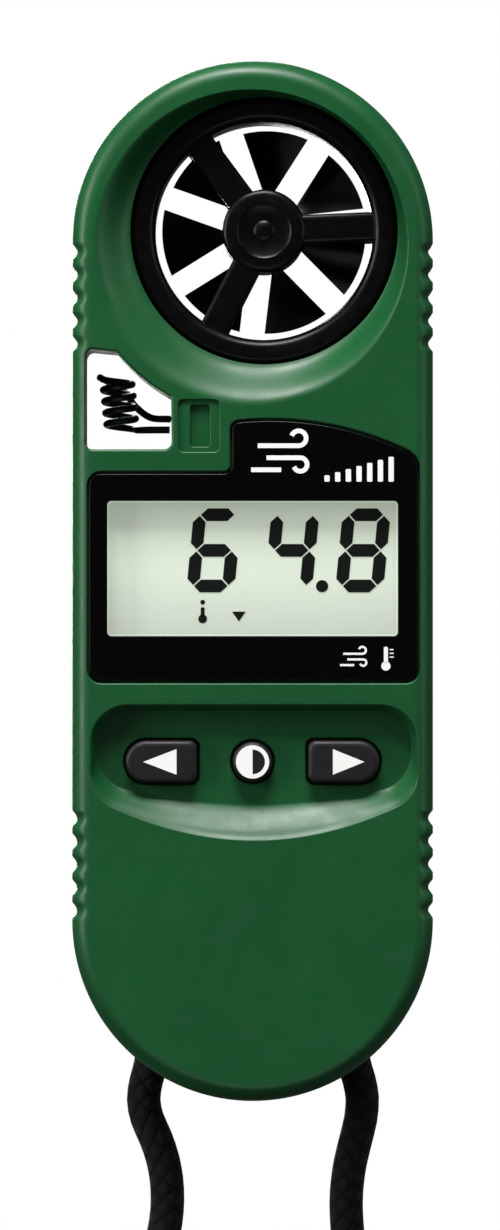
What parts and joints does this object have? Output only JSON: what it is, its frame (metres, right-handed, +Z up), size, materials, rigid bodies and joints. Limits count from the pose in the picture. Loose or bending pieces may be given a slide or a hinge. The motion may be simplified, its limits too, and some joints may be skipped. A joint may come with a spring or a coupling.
{
  "type": "handheld weather meter",
  "caption": "Pill-shaped pocket weather meter: wind impeller in a round opening, wire temperature sensor in a window, display, rubber keys, coin-cell door and neck lanyard.",
  "frame": {"origin": "centre of the casing, where a hand holds it", "axes": "+Z up along the casing towards the impeller, -Y out of the front face with display and keys, +X to the right seen from the front"},
  "size_m": [0.0424, 0.0196, 0.2247],
  "materials": {
    "casing_green": "fine satin moulded plastic",
    "door_green": "fine satin moulded plastic",
    "gasket_rubber": "matt",
    "screw_steel": "satin",
    "bezel_black": "smooth",
    "window_clear": "clear",
    "display_glass": "pale grey-green display",
    "strip_rubber": "matt",
    "board_green": "solder resist",
    "chip_black": "matt",
    "mat_rubber": "matt",
    "button_rubber": "satin rubber with printed symbols",
    "cell_steel": "nickel plated",
    "contact_metal": "satin",
    "pickup_case": "matt",
    "sensor_wire": "dark coated wire",
    "block_plastic": "matt",
    "housing_black": "satin",
    "impeller_black": "satin",
    "axle_steel": "polished",
    "jewel": "polished",
    "magnet_metal": "plated",
    "seal_rubber": "matt",
    "anchor_metal": "satin",
    "lanyard_cord": "braided cord",
    "tie_fabric": "woven hook-and-loop band"
  },
  "bodies": {
    "casing": {"front_casing": "casing_green", "rear_casing": "casing_green", "casing_gasket": "gasket_rubber", "casing_screw_1": "screw_steel", "casing_screw_2": "screw_steel", "casing_screw_3": "screw_steel", "casing_screw_4": "screw_steel", "display_bezel": "bezel_black", "lcd_window": "window_clear", "lcd_panel": "display_glass", "contact_strip_upper": "strip_rubber", "contact_strip_lower": "strip_rubber", "circuit_board": "board_green", "controller_chip": "chip_black", "rotation_pickup": "pickup_case", "keypad_mat": "mat_rubber", "coin_cell": "cell_steel", "battery_contact_positive": "contact_metal", "battery_contact_negative": "contact_metal", "temperature_sensor": "sensor_wire", "sensor_lead_block": "block_plastic", "lanyard_anchor_left": "anchor_metal", "lanyard_anchor_right": "anchor_metal", "lanyard_left": "lanyard_cord", "lanyard_right": "lanyard_cord", "lanyard_hank": "lanyard_cord", "lanyard_tie": "tie_fabric"},
    "impeller_module": {"impeller_housing_front": "housing_black", "impeller_housing_rear": "housing_black", "jewel_bearing_front": "jewel", "jewel_bearing_rear": "jewel"},
    "impeller": {"impeller": "impeller_black", "impeller_axle": "axle_steel", "impeller_magnet": "magnet_metal"},
    "button_left": {"button_left": "button_rubber"},
    "button_power": {"button_power": "button_rubber"},
    "button_right": {"button_right": "button_rubber"},
    "battery_door_seal": {"battery_door_seal": "seal_rubber"},
    "battery_door": {"battery_door": "door_green"}
  },
  "joints": [
    {"name": "impeller_module_out", "type": "slide", "parent": "casing", "child": "impeller_module", "axis": [0, -1, 0], "range_m": [0, 0.022]},
    {"name": "impeller_spin", "type": "hinge", "parent": "impeller_module", "child": "impeller", "pos_m": [0.00135, 0, 0.0411], "axis": [0, 1, 0], "continuous": true},
    {"name": "button_left_press", "type": "slide", "parent": "casing", "child": "button_left", "axis": [0, 1, 0], "range_m": [0, 0.0005], "stiffness_N_per_m": 400},
    {"name": "button_power_press", "type": "slide", "parent": "casing", "child": "button_power", "axis": [0, 1, 0], "range_m": [0, 0.0005], "stiffness_N_per_m": 400},
    {"name": "button_right_press", "type": "slide", "parent": "casing", "child": "button_right", "axis": [0, 1, 0], "range_m": [0, 0.0005], "stiffness_N_per_m": 400},
    {"name": "battery_door_lift", "type": "slide", "parent": "casing", "child": "battery_door_seal", "axis": [0, 1, 0], "range_m": [0, 0.0016]},
    {"name": "battery_door_turn", "type": "hinge", "parent": "battery_door_seal", "child": "battery_door", "pos_m": [0, 0.0089, -0.026], "axis": [0, 1, 0], "range_deg": [0, 90]}
  ],
  "couplings": [
    {"joint": "battery_door_lift", "follows": "battery_door_turn", "m_per_rad": 0.001018}
  ]
}
